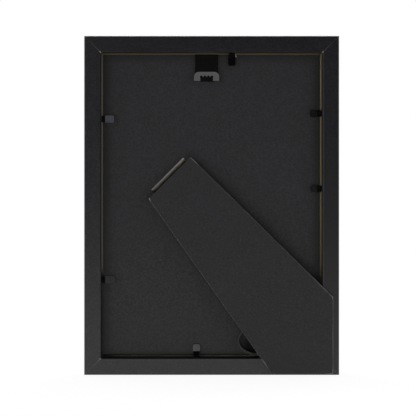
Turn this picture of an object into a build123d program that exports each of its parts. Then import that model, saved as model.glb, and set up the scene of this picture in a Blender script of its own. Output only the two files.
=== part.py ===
from build123d import *
from math import atan, cos, radians, sin, sqrt, tan
import os

# Easel back photo frame for a 13 x 18 cm picture.
# Millimetres. X runs right and Z up as seen from the easel side, Y from the easel side to the picture side.
# The origin is the middle of the lower rail's underside. Left and right are as seen from the easel side.

# Moulding
PICTURE_W = 130.0
PICTURE_H = 180.0
RABBET_PLAY = 1.0
RAIL_BACK_W = 9.75
RAIL_DEPTH = 15.0
WALL_SPLAY = 1.1
LIP_W = 5.0
LIP_T = 5.0
SIGHT_BEVEL = 1.5
OUTER_ROUND = 0.6
ARRIS_ROUND = 0.3

# V-nails across the mitres
WEDGE_LEG = 4.5
WEDGE_T = 0.5
WEDGE_H = 7.0
WEDGE_SUNK = 1.5
WEDGE_INSET = 6.8

# Glass, picture insert and back panel
GLASS_T = 2.0
INSERT_T = 0.3
BOARD_T = 3.0
BOARD_GAP_LEFT = 0.05
BOARD_GAP_RIGHT = 0.35
BOARD_GAP_TOP = 0.05
BOARD_GAP_BOTTOM = 1.0
BOARD_CORNER = 0.8
SHEET_PLAY = 0.5

# Flexible points: rail, place along it, bend and reach from the rail's edge, rise of the blade in degrees
TAB_T = 0.5
TAB_ROOT = 5.0
TAB_NECK_W = 3.6
TAB_BLADE_W = 4.3
TAB_PIVOT = 0.55
TAB_HEIGHT = 2.6
TAB_TOUCH = 0.08
TAB_CORNER = 1.2
TAB_BEND_R = 0.4
TAB_GAP = 0.05
TAB_SHAPES = {
    "tab_left_upper": ("left", 152.2, 2.1, 7.9, 12.0),
    "tab_left_lower": ("left", 56.5, 2.2, 8.6, 7.0),
    "tab_right_upper": ("right", 155.5, 2.3, 7.3, 12.0),
    "tab_right_lower": ("right", 110.7, 2.1, 7.1, 12.0),
    "tab_top": ("top", 12.0, 2.6, 7.8, 12.0),
    "tab_bottom": ("bottom", -9.1, 4.0, 8.3, 12.0),
}

# Saw-tooth hanger
HANGER_X = -3.0
HANGER_T = 0.6
HANGER_ROOT = 6.0
STRAP_W = 13.8
STRAP_LIFT = 0.1
STRAP_L = 14.9
FOLD_R = 0.9
FLAP_W = 15.0
FLAP_L = 5.0
FLAP_LEAN = 18.0
FLAP_CORNER = 3.0
SLOT_BELOW_TOP = 3.0
TOOTH_PITCH = 2.1
NOTCH_R = 0.8
NOTCH_SIDE = 0.64
NOTCHES = 4
TONGUE_PLAY = 0.15

# Leg
HINGE_X = -24.2
HINGE_Z = 116.3
LEG_T = 3.0
LEG_TOP_W = 35.1
LEG_OVERHANG = 1.15
LEG_INSET = 3.75
LEG_LIFT = 0.9
FOOT_UPRIGHT_L = 36.2
FOOT_SIDEWAYS_L = 45.4
LEG_CORNER = 0.6
LEG_OVER_RAIL = 0.3

# Leg hinge
AXIS_HEIGHT = 0.1
PIN_R = 0.55
PIN_EASE = 0.14
PIN_CLEARANCE = 0.03
LEAF_T = 0.5
HINGE_W = 25.0
KNUCKLES = 5
KNUCKLE_GAP = 0.2
KNUCKLE_PLAY = 0.15
LEAF_L = 13.0
LEAF_CORNER = 1.5
LEAF_BEND_R = 0.4
FASTENER_R = 1.1
FASTENER_HEAD_R = 2.2
FASTENER_HEAD_T = 0.5
FASTENER_HEAD_ROUND = 0.25
FASTENER_FROM_AXIS = 8.0
FASTENER_SPAN = 15.0
TACK_DEPTH = 2.0
SLOT_FAR = 4.05
SLOT_FAR_BEVEL = 2.0
SLOT_NEAR = 1.5
SLOT_PLAY = 1.0
SLOT_SHIFT = 0.8

# Stay ribbon: points of its middle line, from the hinge's middle toward the foot and along the hinge
RIBBON_W = 4.2
RIBBON_T = 0.5
RIBBON_SEAT = 0.03
RIBBON_LEAN = (5.0, 20.0)
RIBBON_LEAN_SPAN = (0.445, 0.61)
RIBBON_END = 4.0
RIBBON_TWIST = 12.0
RIBBON_STATIONS = 44
RIBBON_ROUTE = (
    (94.0, -2.2), (94.0, -14.0), (93.9, -27.0), (94.1, -34.0), (95.1, -38.3), (97.2, -40.6),
    (100.2, -41.5), (104.0, -41.1), (107.5, -39.8), (110.3, -37.2), (112.2, -32.8), (113.5, -23.0),
    (113.5, -10.2),
)

# Staples of the ribbon
STAPLE_WIRE = 0.6
STAPLE_DEPTH = 1.8
STAPLE_FROM_END = 2.0
STAPLE_PLAY = 0.3

# Derived sizes
OPEN_W = PICTURE_W + 2 * RABBET_PLAY
OPEN_H = PICTURE_H + 2 * RABBET_PLAY
OUTER_W = OPEN_W + 2 * RAIL_BACK_W
OUTER_H = OPEN_H + 2 * RAIL_BACK_W
RAIL_W = RAIL_BACK_W + LIP_W
MIDDLE_Z = OUTER_H / 2
BACK_Y = -RAIL_DEPTH / 2
FRONT_Y = RAIL_DEPTH / 2
LEDGE_Y = FRONT_Y - LIP_T
INSERT_FRONT_Y = LEDGE_Y - GLASS_T
BOARD_FRONT_Y = INSERT_FRONT_Y - INSERT_T
BOARD_BACK_Y = BOARD_FRONT_Y - BOARD_T
RECESS = BOARD_BACK_Y - BACK_Y
WALL_X = OPEN_W / 2
WALL_TOP_Z = OUTER_H - RAIL_BACK_W
WALL_BOTTOM_Z = RAIL_BACK_W
TAB_INSET = WALL_SPLAY * (1 - TAB_HEIGHT / RECESS)
BORE_R = PIN_R + PIN_CLEARANCE
KNUCKLE_R = BORE_R + LEAF_T
LEG_FACE = KNUCKLE_R + KNUCKLE_PLAY
SLOT_L = HINGE_W + 2 * SLOT_PLAY
ROOT_HALF = sqrt(0.5)

# The board's back face at the hinge: x toward the foot, y along the hinge, z away from the board
HINGE_PLANE = Plane((HINGE_X, BOARD_BACK_Y, HINGE_Z), x_dir=(1, 0, -1), z_dir=(0, -1, 0))
AXIS_PLANE = HINGE_PLANE.offset(AXIS_HEIGHT)


def in_hinge_plane(x, z):
    """Gives a point of the frame as distances from the hinge's middle, toward the foot and along it."""
    right = x - HINGE_X
    up = z - HINGE_Z
    return (right - up) * ROOT_HALF, (right + up) * ROOT_HALF


def leg_corners():
    """Gives the leg's five corners in the hinge plane, from the top edge's lower end round by the top."""
    foot_x = OUTER_W / 2 - LEG_INSET
    return [
        (-LEG_OVERHANG, -LEG_TOP_W / 2),
        (-LEG_OVERHANG, LEG_TOP_W / 2),
        in_hinge_plane(foot_x, LEG_LIFT + FOOT_SIDEWAYS_L),
        in_hinge_plane(foot_x, LEG_LIFT),
        in_hinge_plane(foot_x - FOOT_UPRIGHT_L, LEG_LIFT),
    ]


def first_rail_crossing():
    """Gives the least distance from the hinge at which a long side of the leg meets a rail's wall."""
    low, high, side, _, foot = leg_corners()
    wall_side = in_hinge_plane(WALL_X, HINGE_Z)
    wall_foot = in_hinge_plane(HINGE_X, WALL_BOTTOM_Z)
    side_sum = wall_side[0] + wall_side[1]
    foot_difference = wall_foot[0] - wall_foot[1]
    share_side = (side_sum - high[0] - high[1]) / (side[0] + side[1] - high[0] - high[1])
    share_foot = (foot_difference - low[0] + low[1]) / (foot[0] - foot[1] - low[0] + low[1])
    return min(
        high[0] + share_side * (side[0] - high[0]),
        low[0] + share_foot * (foot[0] - low[0]),
    )


# Closed, the leg lies over the rails, so it leans away from the board by a small angle
LEG_SLOPE = (RECESS + LEG_OVER_RAIL - AXIS_HEIGHT - LEG_FACE) / first_rail_crossing()
LEG_ANGLE = atan(LEG_SLOPE)
LEG_PLANE = Plane(
    AXIS_PLANE.origin,
    x_dir=HINGE_PLANE.x_dir * cos(LEG_ANGLE) + HINGE_PLANE.z_dir * sin(LEG_ANGLE),
    z_dir=HINGE_PLANE.z_dir * cos(LEG_ANGLE) - HINGE_PLANE.x_dir * sin(LEG_ANGLE),
)


def box_between(x0, x1, y0, y1, z0, z1):
    """Gives a box between two corners."""
    middle = ((x0 + x1) / 2, (y0 + y1) / 2, (z0 + z1) / 2)
    return Pos(*middle) * Box(abs(x1 - x0), abs(y1 - y0), abs(z1 - z0))


def leg_underside(distance):
    """Gives the height of the leg's inner face over the board at a distance from the hinge."""
    return AXIS_HEIGHT + LEG_FACE / cos(LEG_ANGLE) + distance * LEG_SLOPE


def rail_profile():
    """Gives the moulding's section: x from the outer edge inward, y toward the picture side."""
    seat = RAIL_BACK_W + WALL_SPLAY
    section = make_face(
        Polyline(
            (0, BACK_Y), (RAIL_BACK_W, BACK_Y), (seat, BOARD_BACK_Y), (seat, LEDGE_Y), (RAIL_W, LEDGE_Y),
            (RAIL_W, FRONT_Y - SIGHT_BEVEL), (RAIL_W - SIGHT_BEVEL, FRONT_Y), (0, FRONT_Y), close=True,
        )
    )
    section = fillet(section.vertices().group_by(Axis.X)[0], OUTER_ROUND)
    arris = section.vertices().group_by(Axis.Y)[0].sort_by(Axis.X)[-1]
    return fillet(arris, ARRIS_ROUND)


def mitred_rail(length):
    """Gives a rail along X with its outer edge on Z = 0, mitred at both ends."""
    across = Plane((length / 2, 0, 0), x_dir=(0, 0, 1), z_dir=(-1, 0, 0))
    bar = extrude(across * rail_profile(), length)
    half = length / 2
    outline = make_face(
        Polyline((-half, 0), (half, 0), (half - RAIL_W, RAIL_W), (-half + RAIL_W, RAIL_W), close=True)
    )
    trimmer = extrude(Plane((0, FRONT_Y, 0), x_dir=(1, 0, 0), z_dir=(0, -1, 0)) * outline, RAIL_DEPTH)
    return bar & trimmer


def corner_wedges():
    """Gives the four V-nails, one across each mitre, point to the inside."""
    y0 = BACK_Y + WEDGE_SUNK
    y1 = y0 + WEDGE_H
    wedges = []
    for side in (-1, 1):
        for level, up in ((0, 1), (OUTER_H, -1)):
            x = side * (OUTER_W / 2 - WEDGE_INSET)
            z = level + up * WEDGE_INSET
            x_in = x - side * WEDGE_T
            z_in = z + up * WEDGE_T
            along = box_between(x_in, x + side * WEDGE_LEG, y0, y1, z, z_in)
            upright = box_between(x, x_in, y0, y1, z_in, z - up * WEDGE_LEG)
            wedges.append(along + upright)
    return wedges


def wall_plane(side, place, inset):
    """Gives a plane set in from a rail's inner edge: x into the opening, z away from the board."""
    spots = {
        "left": ((inset - WALL_X, BOARD_BACK_Y, place), (1, 0, 0)),
        "right": ((WALL_X - inset, BOARD_BACK_Y, place), (-1, 0, 0)),
        "top": ((place, BOARD_BACK_Y, WALL_TOP_Z - inset), (0, 0, -1)),
        "bottom": ((place, BOARD_BACK_Y, WALL_BOTTOM_Z + inset), (0, 0, 1)),
    }
    origin, inward = spots[side]
    return Plane(origin, x_dir=inward, z_dir=(0, -1, 0))


TABS = {name: wall_plane(side, place, TAB_INSET) for name, (side, place, *_) in TAB_SHAPES.items()}


def tab_blade(name):
    """Gives the free part of a flexible point: a neck down to the board, then a rising blade."""
    _, _, bend, reach, tilt = TAB_SHAPES[name]
    bend -= TAB_INSET
    reach -= TAB_INSET
    low = TAB_TOUCH + TAB_T / 2
    rise = (reach - bend) * tan(radians(tilt))
    line = FilletPolyline((TAB_PIVOT, TAB_HEIGHT), (bend, low), (reach, low + rise), radius=TAB_BEND_R)
    side = trace(line, TAB_T) + Pos(TAB_PIVOT, TAB_HEIGHT) * Circle(TAB_T / 2)
    upright = Plane((0, TAB_BLADE_W / 2, 0), x_dir=(1, 0, 0), z_dir=(0, -1, 0))
    strip = extrude(upright * side, TAB_BLADE_W)
    blade = Pos((bend + reach) / 2, 0) * Rectangle(reach - bend, TAB_BLADE_W)
    blade = fillet(blade.vertices().group_by(Axis.X)[-1], TAB_CORNER)
    neck = Pos(bend / 2, 0) * Rectangle(bend, TAB_NECK_W)
    return strip & extrude(blade + neck, RECESS)


def tab_root():
    """Gives the driven root of a flexible point, up to its bend."""
    end = TAB_PIVOT - TAB_T / 2 - TAB_GAP
    return box_between(
        -TAB_ROOT, end, -TAB_NECK_W / 2, TAB_NECK_W / 2, TAB_HEIGHT - TAB_T / 2, TAB_HEIGHT + TAB_T / 2
    )


HANGER_PLANE = wall_plane("top", HANGER_X, WALL_SPLAY)


def hanger_root():
    """Gives the strap's stretch inside the top rail."""
    return box_between(
        -HANGER_ROOT, 0, -STRAP_W / 2, STRAP_W / 2, STRAP_LIFT, STRAP_LIFT + HANGER_T
    )


def sawtooth_hanger():
    """Gives the hanger: a strap with a tongue, a fold, and a leaning lip with a toothed slot."""
    centre = STRAP_LIFT + HANGER_T / 2 + FOLD_R
    strap = hanger_root() + box_between(
        0, STRAP_L, -STRAP_W / 2, STRAP_W / 2, STRAP_LIFT, STRAP_LIFT + HANGER_T
    )
    turn = 180.0 - FLAP_LEAN
    upright = Plane((0, FLAP_W / 2, 0), x_dir=(1, 0, 0), z_dir=(0, -1, 0))
    bend = trace(CenterArc((STRAP_L, centre), FOLD_R, -90, turn), HANGER_T)
    fold = extrude(upright * bend, FLAP_W)
    end_angle = radians(turn - 90)
    start = (STRAP_L + FOLD_R * cos(end_angle), 0, centre + FOLD_R * sin(end_angle))
    lean = radians(FLAP_LEAN)
    flap_plane = Plane(start, x_dir=(-cos(lean), 0, sin(lean)), z_dir=(sin(lean), 0, cos(lean)))
    flat = Pos(FLAP_L / 2, 0) * Rectangle(FLAP_L, FLAP_W)
    flat = fillet(flat.vertices().group_by(Axis.X)[-1], FLAP_CORNER)
    flap = flap_plane * extrude(flat, HANGER_T / 2, both=True)
    slot_w = (NOTCHES - 1) * TOOTH_PITCH + 2 * NOTCH_SIDE
    slot_top = start[0] - FLAP_L * cos(lean) + SLOT_BELOW_TOP
    beyond = STRAP_L + FOLD_R + HANGER_T
    height = RECESS
    opening = box_between(slot_top, beyond, -slot_w / 2, slot_w / 2, centre, height)
    for place in range(NOTCHES):
        along = (place - (NOTCHES - 1) / 2) * TOOTH_PITCH
        opening += Pos(slot_top, along, (centre + height) / 2) * Cylinder(NOTCH_R, height - centre)
    through = box_between(STRAP_L, beyond, -slot_w / 2, slot_w / 2, 0, height)
    half = slot_w / 2 - TONGUE_PLAY
    tongue = box_between(
        STRAP_L, STRAP_L + FOLD_R + HANGER_T / 2, -half, half, STRAP_LIFT, STRAP_LIFT + HANGER_T
    )
    return strap + fold + flap - opening - through + tongue


def hinge_ring(y0, y1):
    """Gives one knuckle about the hinge axis between two places along it."""
    ring = Cylinder(KNUCKLE_R, y1 - y0) - Cylinder(BORE_R, y1 - y0)
    return Pos(0, (y0 + y1) / 2, 0) * (Rot(90, 0, 0) * ring)


def knuckle_spans(first):
    """Gives the spans of every second knuckle along the hinge, counted from the first given."""
    pitch = HINGE_W / KNUCKLES
    starts = [place * pitch - HINGE_W / 2 for place in range(first, KNUCKLES, 2)]
    return [(start + KNUCKLE_GAP / 2, start + pitch - KNUCKLE_GAP / 2) for start in starts]


def fastener_spots():
    """Gives the places of a leaf's two fasteners, from the axis and along it."""
    return [(FASTENER_FROM_AXIS, side * FASTENER_SPAN / 2) for side in (-1, 1)]


def post(x, y, radius, z0, z1):
    """Gives a cylinder that stands between two heights."""
    return Pos(x, y, (z0 + z1) / 2) * Cylinder(radius, z1 - z0)


def leaf_plate(start, z0, z1):
    """Gives a leaf's flat plate with rounded free corners."""
    flat = Pos((start + LEAF_L) / 2, 0) * Rectangle(LEAF_L - start, HINGE_W)
    flat = fillet(flat.vertices().group_by(Axis.X)[-1], LEAF_CORNER)
    return Pos(0, 0, z0) * extrude(flat, z1 - z0)


def hinge_board_leaf():
    """Gives the board's leaf about the axis: knuckles, webs through the slot, a plate in the pocket."""
    floor = -AXIS_HEIGHT - BOARD_T
    level = floor + LEAF_T / 2
    middle = -KNUCKLE_R + LEAF_T / 2
    line = FilletPolyline((middle, 0), (middle, level), (KNUCKLE_R + LEAF_T, level), radius=LEAF_BEND_R)
    web = trace(line, LEAF_T)
    leaf = leaf_plate(KNUCKLE_R, floor, floor + LEAF_T)
    for y0, y1 in knuckle_spans(0):
        upright = Plane((0, y1, 0), x_dir=(1, 0, 0), z_dir=(0, -1, 0))
        leaf += extrude(upright * web, y1 - y0)
        leaf += hinge_ring(y0, y1)
        leaf -= Pos(0, (y0 + y1) / 2, 0) * (Rot(90, 0, 0) * Cylinder(BORE_R, y1 - y0))
    for x, y in fastener_spots():
        leaf -= post(x, y, FASTENER_R, floor, floor + LEAF_T)
    return leaf


def hinge_leg_leaf():
    """Gives the leg's leaf about the axis: knuckles and a plate on the leg's inner face."""
    leaf = leaf_plate(KNUCKLE_R + KNUCKLE_PLAY, LEG_FACE - LEAF_T, LEG_FACE)
    for y0, y1 in knuckle_spans(1):
        leaf += box_between(0, KNUCKLE_R + 2 * KNUCKLE_PLAY, y0, y1, LEG_FACE - LEAF_T, LEG_FACE)
        leaf += hinge_ring(y0, y1)
        leaf -= Pos(0, (y0 + y1) / 2, 0) * (Rot(90, 0, 0) * Cylinder(BORE_R, y1 - y0))
    for x, y in fastener_spots():
        leaf -= post(x, y, FASTENER_R, LEG_FACE - LEAF_T, LEG_FACE)
    return leaf


def board_rivets():
    """Gives the rivets of the board's leaf, in the hinge plane: flush in the leaf, low board heads."""
    rivets = []
    for x, y in fastener_spots():
        head = post(x, y, FASTENER_HEAD_R, 0, FASTENER_HEAD_T)
        head = fillet(head.edges().sort_by(Axis.Z)[-1], FASTENER_HEAD_ROUND)
        rivets.append(head + post(x, y, FASTENER_R, -BOARD_T, 0))
    return rivets


def leg_tacks():
    """Gives the tacks of the leg's leaf about the axis: shanks blind in the leg, flush in the leaf."""
    low = LEG_FACE - LEAF_T
    high = LEG_FACE + TACK_DEPTH
    return [post(x, y, FASTENER_R, low, high) for x, y in fastener_spots()]


def hinge_pin():
    """Gives the pin along the hinge axis, its ends eased."""
    pin = Rot(90, 0, 0) * Cylinder(PIN_R, HINGE_W)
    return chamfer(pin.edges().filter_by(GeomType.CIRCLE), PIN_EASE)


def smooth(share):
    """Eases a share from 0 to 1."""
    share = min(max(share, 0.0), 1.0)
    return share * share * (3 - 2 * share)


RIBBON_LINE = Spline(*RIBBON_ROUTE)


def ribbon_frame(share):
    """Gives the ribbon's place, width direction and run at a share of its length, in the hinge plane."""
    place = RIBBON_LINE @ share
    run = RIBBON_LINE % share
    from_end = min(share, 1 - share) * RIBBON_LINE.length
    standing = smooth((from_end - RIBBON_END) / RIBBON_TWIST)
    first, last = RIBBON_LEAN
    start, end = RIBBON_LEAN_SPAN
    upright = first + (last - first) * smooth((share - start) / (end - start))
    lean = radians(90 - (90 - upright) * standing)
    half = (RIBBON_W * cos(lean) + RIBBON_T * sin(lean)) / 2
    room = leg_underside(place.X)
    seated = RIBBON_SEAT + half
    lifted = seated + (room / 2 - seated) * standing
    height = lifted if share < 0.5 else room - lifted
    slope = LEG_SLOPE * smooth(2 * share - 1)
    inward = Vector(-run.Y, run.X, -run.Y * slope)
    across = inward * sin(lean) + Vector(0, 0, cos(lean))
    return Vector(place.X, place.Y, height), across, run


def stay_ribbon():
    """Gives the ribbon: flat on the board, on edge through its loop, then flat on the leg."""
    sections = []
    for station in range(RIBBON_STATIONS + 1):
        place, across, run = ribbon_frame(station / RIBBON_STATIONS)
        sections.append(Plane(place, x_dir=across, z_dir=run) * Rectangle(RIBBON_W, RIBBON_T))
    return loft(sections, ruled=True)


def staple(share, toward_leg):
    """Gives a staple over the ribbon's end at a share of its length, driven into the board or the leg."""
    place, across, run = ribbon_frame(share)
    away = run.cross(across) * (-1 if toward_leg else 1)
    half = RIBBON_W / 2 + STAPLE_PLAY + STAPLE_WIRE / 2
    top = RIBBON_T / 2 + STAPLE_WIRE / 2 + RIBBON_SEAT
    depth = RIBBON_T / 2 + RIBBON_SEAT + STAPLE_DEPTH
    plane = Plane(place, x_dir=across, z_dir=away)
    crown = Pos(0, 0, top) * Box(2 * half + STAPLE_WIRE, STAPLE_WIRE, STAPLE_WIRE)
    prong = top + depth
    for side in (-1, 1):
        crown += Pos(side * half, 0, top - prong / 2) * Box(STAPLE_WIRE, STAPLE_WIRE, prong)
    return plane * crown


def backboard():
    """Gives the back panel with the hinge slot, the leaf's pocket and the fastener holes."""
    left = WALL_SPLAY + BOARD_GAP_LEFT - WALL_X
    right = WALL_X - WALL_SPLAY - BOARD_GAP_RIGHT
    bottom = WALL_BOTTOM_Z + WALL_SPLAY + BOARD_GAP_BOTTOM
    top = WALL_TOP_Z - WALL_SPLAY - BOARD_GAP_TOP
    outline = Pos((left + right) / 2, (bottom + top) / 2) * Rectangle(right - left, top - bottom)
    outline = fillet(outline.vertices(), BOARD_CORNER)
    face = Plane((0, BOARD_FRONT_Y, 0), x_dir=(1, 0, 0), z_dir=(0, -1, 0))
    board = extrude(face * outline, BOARD_T)
    far_foot = SLOT_FAR_BEVEL - SLOT_FAR
    section = make_face(
        Polyline((-SLOT_FAR, 0), (SLOT_NEAR, 0), (SLOT_NEAR, -BOARD_T), (far_foot, -BOARD_T), close=True)
    )
    upright = Plane((0, SLOT_SHIFT + SLOT_L / 2, 0), x_dir=(1, 0, 0), z_dir=(0, -1, 0))
    slot = extrude(upright * section, SLOT_L)
    pocket = leaf_plate(0, -BOARD_T, LEAF_T - BOARD_T)
    board -= HINGE_PLANE * slot
    board -= HINGE_PLANE * pocket
    for x, y in fastener_spots():
        board -= HINGE_PLANE * post(x, y, FASTENER_R, -BOARD_T, 0)
    return board


def leg_panel():
    """Gives the leg about the hinge axis, with blind holes for its tacks."""
    outline = make_face(Polyline(*leg_corners(), close=True))
    outline = fillet(outline.vertices(), LEG_CORNER)
    panel = Pos(0, 0, LEG_FACE) * extrude(outline, LEG_T)
    for x, y in fastener_spots():
        panel -= post(x, y, FASTENER_R, LEG_FACE, LEG_FACE + TACK_DEPTH)
    return panel


def sheet(y_front, thickness):
    """Gives a flat sheet behind the sight opening, a little smaller than the picture's size."""
    width = PICTURE_W - 2 * SHEET_PLAY
    height = PICTURE_H - 2 * SHEET_PLAY
    return Pos(0, y_front - thickness / 2, MIDDLE_Z) * Box(width, thickness, height)


def build():
    """Gives every node of the frame by name, each a list of solids."""
    bottom = mitred_rail(OUTER_W)
    side = mitred_rail(OUTER_H)
    turn_left = Pos(-OUTER_W / 2, 0, MIDDLE_Z) * Rot(0, 90, 0)
    turn_right = Pos(OUTER_W / 2, 0, MIDDLE_Z) * Rot(0, -90, 0)
    rails = {
        "rail_bottom": bottom,
        "rail_top": Pos(0, 0, OUTER_H) * Rot(0, 180, 0) * bottom,
        "rail_left": turn_left * side,
        "rail_right": turn_right * side,
    }
    wedges = corner_wedges()
    roots = {name: plane * tab_root() for name, plane in TABS.items()}
    hanger = HANGER_PLANE * sawtooth_hanger()
    for name in rails:
        for wedge in wedges:
            rails[name] -= wedge
        for root in roots.values():
            rails[name] -= root
    rails["rail_top"] -= HANGER_PLANE * hanger_root()

    length = RIBBON_LINE.length
    board_staple = HINGE_PLANE * staple(STAPLE_FROM_END / length, False)
    leg_staple = HINGE_PLANE * staple(1 - STAPLE_FROM_END / length, True)

    nodes = {name: [rail] for name, rail in rails.items()}
    nodes["corner_wedges"] = wedges
    nodes["glass_pane"] = [sheet(LEDGE_Y, GLASS_T)]
    nodes["photo_insert"] = [sheet(INSERT_FRONT_Y, INSERT_T)]
    nodes["backboard"] = [backboard() - board_staple]
    nodes["sawtooth_hanger"] = [hanger]
    nodes["tab_shanks"] = list(roots.values())
    for name, plane in TABS.items():
        nodes[name] = [plane * tab_blade(name)]
    nodes["leg_panel"] = [LEG_PLANE * leg_panel() - leg_staple]
    nodes["hinge_board_leaf"] = [AXIS_PLANE * hinge_board_leaf()]
    nodes["hinge_leg_leaf"] = [LEG_PLANE * hinge_leg_leaf()]
    nodes["hinge_pin"] = [AXIS_PLANE * hinge_pin()]
    nodes["hinge_board_rivets"] = [HINGE_PLANE * rivet for rivet in board_rivets()]
    nodes["hinge_leg_tacks"] = [LEG_PLANE * tack for tack in leg_tacks()]
    nodes["stay_ribbon"] = [HINGE_PLANE * stay_ribbon()]
    nodes["ribbon_board_staple"] = [board_staple]
    nodes["ribbon_leg_staple"] = [leg_staple]
    return nodes


def main():
    """Builds the frame and writes each node to its own file."""
    os.makedirs("parts", exist_ok=True)
    for name, solids in build().items():
        shape = solids[0] if len(solids) == 1 else Compound(children=list(solids))
        shape.label = name
        export_step(shape, f"parts/{name}.step")


if __name__ == "__main__":
    main()
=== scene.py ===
import math

import bpy
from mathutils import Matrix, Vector


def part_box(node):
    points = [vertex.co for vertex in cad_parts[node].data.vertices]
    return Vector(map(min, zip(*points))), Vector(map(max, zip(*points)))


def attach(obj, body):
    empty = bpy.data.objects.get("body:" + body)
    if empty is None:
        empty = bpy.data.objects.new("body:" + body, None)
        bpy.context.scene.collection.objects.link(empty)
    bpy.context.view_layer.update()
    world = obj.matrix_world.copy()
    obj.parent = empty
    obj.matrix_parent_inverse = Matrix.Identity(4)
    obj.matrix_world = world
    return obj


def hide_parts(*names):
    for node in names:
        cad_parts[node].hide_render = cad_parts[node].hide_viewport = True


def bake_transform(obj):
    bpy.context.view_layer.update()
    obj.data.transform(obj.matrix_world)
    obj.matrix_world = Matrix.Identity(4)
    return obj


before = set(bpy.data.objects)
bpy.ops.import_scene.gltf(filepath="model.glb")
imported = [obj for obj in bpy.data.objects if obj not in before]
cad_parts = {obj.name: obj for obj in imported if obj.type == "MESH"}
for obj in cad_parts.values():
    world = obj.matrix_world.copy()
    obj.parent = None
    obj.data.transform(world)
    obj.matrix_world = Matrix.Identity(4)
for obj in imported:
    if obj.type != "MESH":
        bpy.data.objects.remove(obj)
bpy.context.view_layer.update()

bpy.ops.object.select_all(action="DESELECT")

MM = 0.001


def colour(red, green, blue):
    """Gives a colour for a socket."""
    return (red, green, blue, 1.0)


# Places of the moulding and the back panel
OUTER_HALF_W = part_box("rail_right")[1].x
OUTER_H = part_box("rail_top")[1].z
RAIL_BACK_W = 9.75 * MM
BACK_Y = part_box("rail_left")[0].y
LEDGE_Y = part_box("glass_pane")[1].y
BOARD_LOW, BOARD_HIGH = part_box("backboard")
BOARD_BACK_Y = BOARD_LOW.y
RECESS = BOARD_BACK_Y - BACK_Y

# The hinge's middle on the board's back, with its directions toward the foot, along the hinge and outward
HINGE = Vector((-24.2 * MM, BOARD_BACK_Y, 116.3 * MM))
TOWARD_FOOT = Vector((1, 0, -1)).normalized()
ALONG_HINGE = Vector((1, 0, 1)).normalized()
OUTWARD = Vector((0, -1, 0))
DIAGONAL = math.sqrt(0.5)

# Hinge slot, from the hinge's middle, and how softly its bare core begins
SLOT_NEAR = 1.5 * MM
SLOT_FAR = 4.05 * MM
SLOT_BEVEL = 2.0 * MM
SLOT_HALF = 13.5 * MM
SLOT_SHIFT = 0.8 * MM
SLOT_SOFT = 0.5 * MM
SLOT_END_SOFT = 0.6 * MM
CORE_FIBRE_SHARE = 0.25

# How little a panel's surface faces the back on a cut edge, and on the slot's bevel
CUT_EDGE = (0.75, 0.55)
BEVEL_TILT = (0.98, 0.9)

# Noise: the size of its spots, its detail and its roughness
BROKEN = (1.6 * MM, 3.0, 0.6)
RAGGED_PAINT = (2.2 * MM, 2.0, 0.5)
WOOD_FIBRE = (0.35 * MM, 3.0, 0.7)
BLOTCHES = (1.1 * MM, 2.0, 0.6)
PEBBLE = (0.8 * MM, 3.0, 0.75)
FINE_GRAIN = (0.22 * MM, 2.0, 0.6)
BRUSH_STREAKS = (0.5 * MM, 3.0, 0.6)
PAPER_CLOUD = (14 * MM, 5.0, 0.65)
PAPER_FIBRE = (0.28 * MM, 3.0, 0.7)
DUST_CLOUD = (7 * MM, 2.0, 0.5)
RAGGED_PAPER = (1.3 * MM, 4.0, 0.65)
CORE_FIBRE = (0.4 * MM, 3.0, 0.7)
WORN_FIBRE = (0.5 * MM, 3.0, 0.7)
STEEL_CLOUD = (2.4 * MM, 4.0, 0.65)
STEEL_RUB = (0.2 * MM, 2.0, 0.6)
ZINC_CLOUD = (1.8 * MM, 3.0, 0.5)
ZINC_BRUSH = (0.12 * MM, 2.0, 0.6)
WIPING = (18 * MM, 3.0, 0.6)
INSERT_TOOTH = (0.3 * MM, 4.0, 0.7)
INSERT_CLOUD = (20 * MM, 3.0, 0.5)
RIBBON_FUZZ = (0.3 * MM, 3.0, 0.7)
TORN_FIBRE = (0.15 * MM, 3.0, 0.7)

# How far fine marks are drawn out along each direction
UPRIGHT_GRAIN = (1, 1, 0.06)
LEVEL_GRAIN = (0.06, 1, 1)
STEEL_RUB_DRAWN = (0.25, 1, 1)
ZINC_BRUSH_DRAWN = (1, 1, 0.2)
TORN_DRAWN = (1, 1, 0.3)

# Specks: how far apart they are, their radius and the share that is kept
RAIL_SPECKS = (5.5 * MM, 0.22 * MM, 0.35)
PAPER_DUST = (2.4 * MM, 0.26 * MM, 0.5)
PAPER_LINT = (6 * MM, 0.34 * MM, 0.45)

# Relief: its strength and its depth
PAINT_BUMP = (0.14, 0.05 * MM)
PAPER_BUMP = (0.25, 0.06 * MM)
STEEL_BUMP = (0.1, 0.02 * MM)
ZINC_BUMP = (0.12, 0.02 * MM)
INSERT_BUMP = (0.15, 0.04 * MM)
RIBBON_BUMP = (0.5, 0.08 * MM)
TORN_BUMP = (0.3, 0.05 * MM)

# Roughness at the two ends of a finish's pattern, and of bare fibreboard
PAINT_ROUGHNESS = (0.27, 0.37)
PAPER_ROUGHNESS = (0.55, 0.72)
STEEL_ROUGHNESS = (0.16, 0.27)
ZINC_ROUGHNESS = (0.24, 0.4)
GLASS_ROUGHNESS = (0.0, 0.03)
INSERT_ROUGHNESS = (0.8, 0.95)
RIBBON_ROUGHNESS = (0.5, 0.75)
TORN_ROUGHNESS = (0.75, 0.95)
BARE_ROUGHNESS = 0.9

# Sheen: of the paint and its dark edge, the paper and, lowered as painted shade, what the loop covers, the
# dark steel and the insert
PAINT_GLOSS = 0.65
DARK_EDGE_GLOSS = 0.15
PAPER_GLOSS = 0.5
LOOP_GLOSS = 0.2
STEEL_GLOSS = 0.06
INSERT_GLOSS = 0.2
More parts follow.
